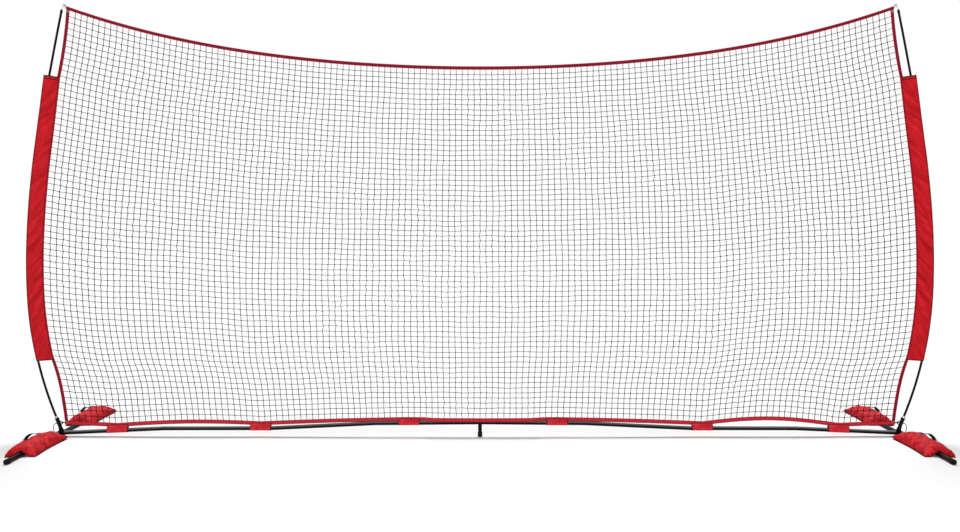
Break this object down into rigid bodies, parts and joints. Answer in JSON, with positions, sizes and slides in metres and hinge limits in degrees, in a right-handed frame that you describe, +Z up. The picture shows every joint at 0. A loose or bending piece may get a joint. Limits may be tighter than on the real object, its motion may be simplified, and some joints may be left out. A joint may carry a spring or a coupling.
{
  "type": "sports barrier net",
  "caption": "Free-standing bow-frame sports net on a jointed base rail, with hinged legs held down by sandbags, for catching thrown or pitched balls.",
  "frame": {"origin": "on the ground under the middle of the base rail", "axes": "+X along the rail to the right seen from the front, +Y from front to back through the net, +Z up"},
  "size_m": [6.4414, 1.4016, 3.0718],
  "materials": {
    "black_steel": "powder coat, satin",
    "bright_steel": "zinc plated",
    "fibreglass_rod": "smooth",
    "black_rubber": "matt",
    "net_twine": "knotted twine",
    "crimson_webbing": "woven edge binding",
    "red_webbing": "woven edge binding",
    "red_fabric": "woven polyester",
    "elastic_cord": "braided sheath",
    "black_webbing": "woven webbing"
  },
  "bodies": {
    "frame": {"hub_left": "black_steel", "hub_right": "black_steel", "pivot_bolts_left": "bright_steel", "pivot_bolts_right": "bright_steel", "rail_left_1": "black_steel", "rail_left_2": "black_steel", "rail_left_3": "black_steel", "rail_left_4": "black_steel", "rail_right_1": "black_steel", "rail_right_2": "black_steel", "rail_right_3": "black_steel", "rail_right_4": "black_steel", "centre_tee": "black_steel", "centre_foot_tip": "black_rubber", "pole_lower_left": "fibreglass_rod", "pole_middle_left": "fibreglass_rod", "pole_upper_left": "fibreglass_rod", "pole_lower_right": "fibreglass_rod", "pole_middle_right": "fibreglass_rod", "pole_upper_right": "fibreglass_rod", "pole_ferrules_left": "bright_steel", "pole_ferrules_right": "bright_steel", "tip_hook_left": "bright_steel", "tip_hook_right": "bright_steel", "net": "net_twine", "binding_top": "crimson_webbing", "binding_bottom": "red_webbing", "binding_left": "crimson_webbing", "binding_right": "crimson_webbing", "sleeve_left": "red_fabric", "sleeve_right": "red_fabric", "straps_left": "red_fabric", "straps_right": "red_fabric", "corner_loops_left": "elastic_cord", "corner_loops_right": "elastic_cord", "tether_left": "elastic_cord", "tether_right": "elastic_cord"},
    "leg_front_left": {"leg_front_left": "black_steel", "leg_cap_front_left": "black_rubber"},
    "bag_front_left": {"sandbag_front_left": "red_fabric", "bag_handle_front_left": "black_webbing"},
    "leg_front_right": {"leg_front_right": "black_steel", "leg_cap_front_right": "black_rubber"},
    "bag_front_right": {"sandbag_front_right": "red_fabric", "bag_handle_front_right": "black_webbing"},
    "leg_rear_left": {"leg_rear_left": "black_steel", "leg_cap_rear_left": "black_rubber"},
    "bag_rear_left": {"sandbag_rear_left": "red_fabric", "bag_handle_rear_left": "black_webbing"},
    "leg_rear_right": {"leg_rear_right": "black_steel", "leg_cap_rear_right": "black_rubber"},
    "bag_rear_right": {"sandbag_rear_right": "red_fabric", "bag_handle_rear_right": "black_webbing"}
  },
  "joints": [
    {"name": "bag_lift_front_left", "type": "slide", "parent": "frame", "child": "bag_front_left", "axis": [0, 0, 1], "range_m": [0, 0.5]},
    {"name": "leg_fold_front_left", "type": "hinge", "parent": "frame", "child": "leg_front_left", "pos_m": [-2.984, -0.038, 0], "axis": [0, 0, 1], "range_deg": [0, 86.4]},
    {"name": "bag_lift_front_right", "type": "slide", "parent": "frame", "child": "bag_front_right", "axis": [0, 0, 1], "range_m": [0, 0.5]},
    {"name": "leg_fold_front_right", "type": "hinge", "parent": "frame", "child": "leg_front_right", "pos_m": [2.984, -0.038, 0], "axis": [0, 0, 1], "range_deg": [-86.4, 0]},
    {"name": "bag_lift_rear_left", "type": "slide", "parent": "frame", "child": "bag_rear_left", "axis": [0, 0, 1], "range_m": [0, 0.68]},
    {"name": "leg_fold_rear_left", "type": "hinge", "parent": "frame", "child": "leg_rear_left", "pos_m": [-2.984, 0.038, 0], "axis": [0, 0, 1], "range_deg": [-93.6, 0]},
    {"name": "bag_lift_rear_right", "type": "slide", "parent": "frame", "child": "bag_rear_right", "axis": [0, 0, 1], "range_m": [0, 0.68]},
    {"name": "leg_fold_rear_right", "type": "hinge", "parent": "frame", "child": "leg_rear_right", "pos_m": [2.984, 0.038, 0], "axis": [0, 0, 1], "range_deg": [0, 93.6]}
  ],
  "couplings": [
    {"joint": "leg_fold_front_left", "follows": "bag_lift_front_left", "rad_per_m": 3},
    {"joint": "leg_fold_front_right", "follows": "bag_lift_front_right", "rad_per_m": -3},
    {"joint": "leg_fold_rear_left", "follows": "bag_lift_rear_left", "rad_per_m": -2.4},
    {"joint": "leg_fold_rear_right", "follows": "bag_lift_rear_right", "rad_per_m": 2.4}
  ]
}
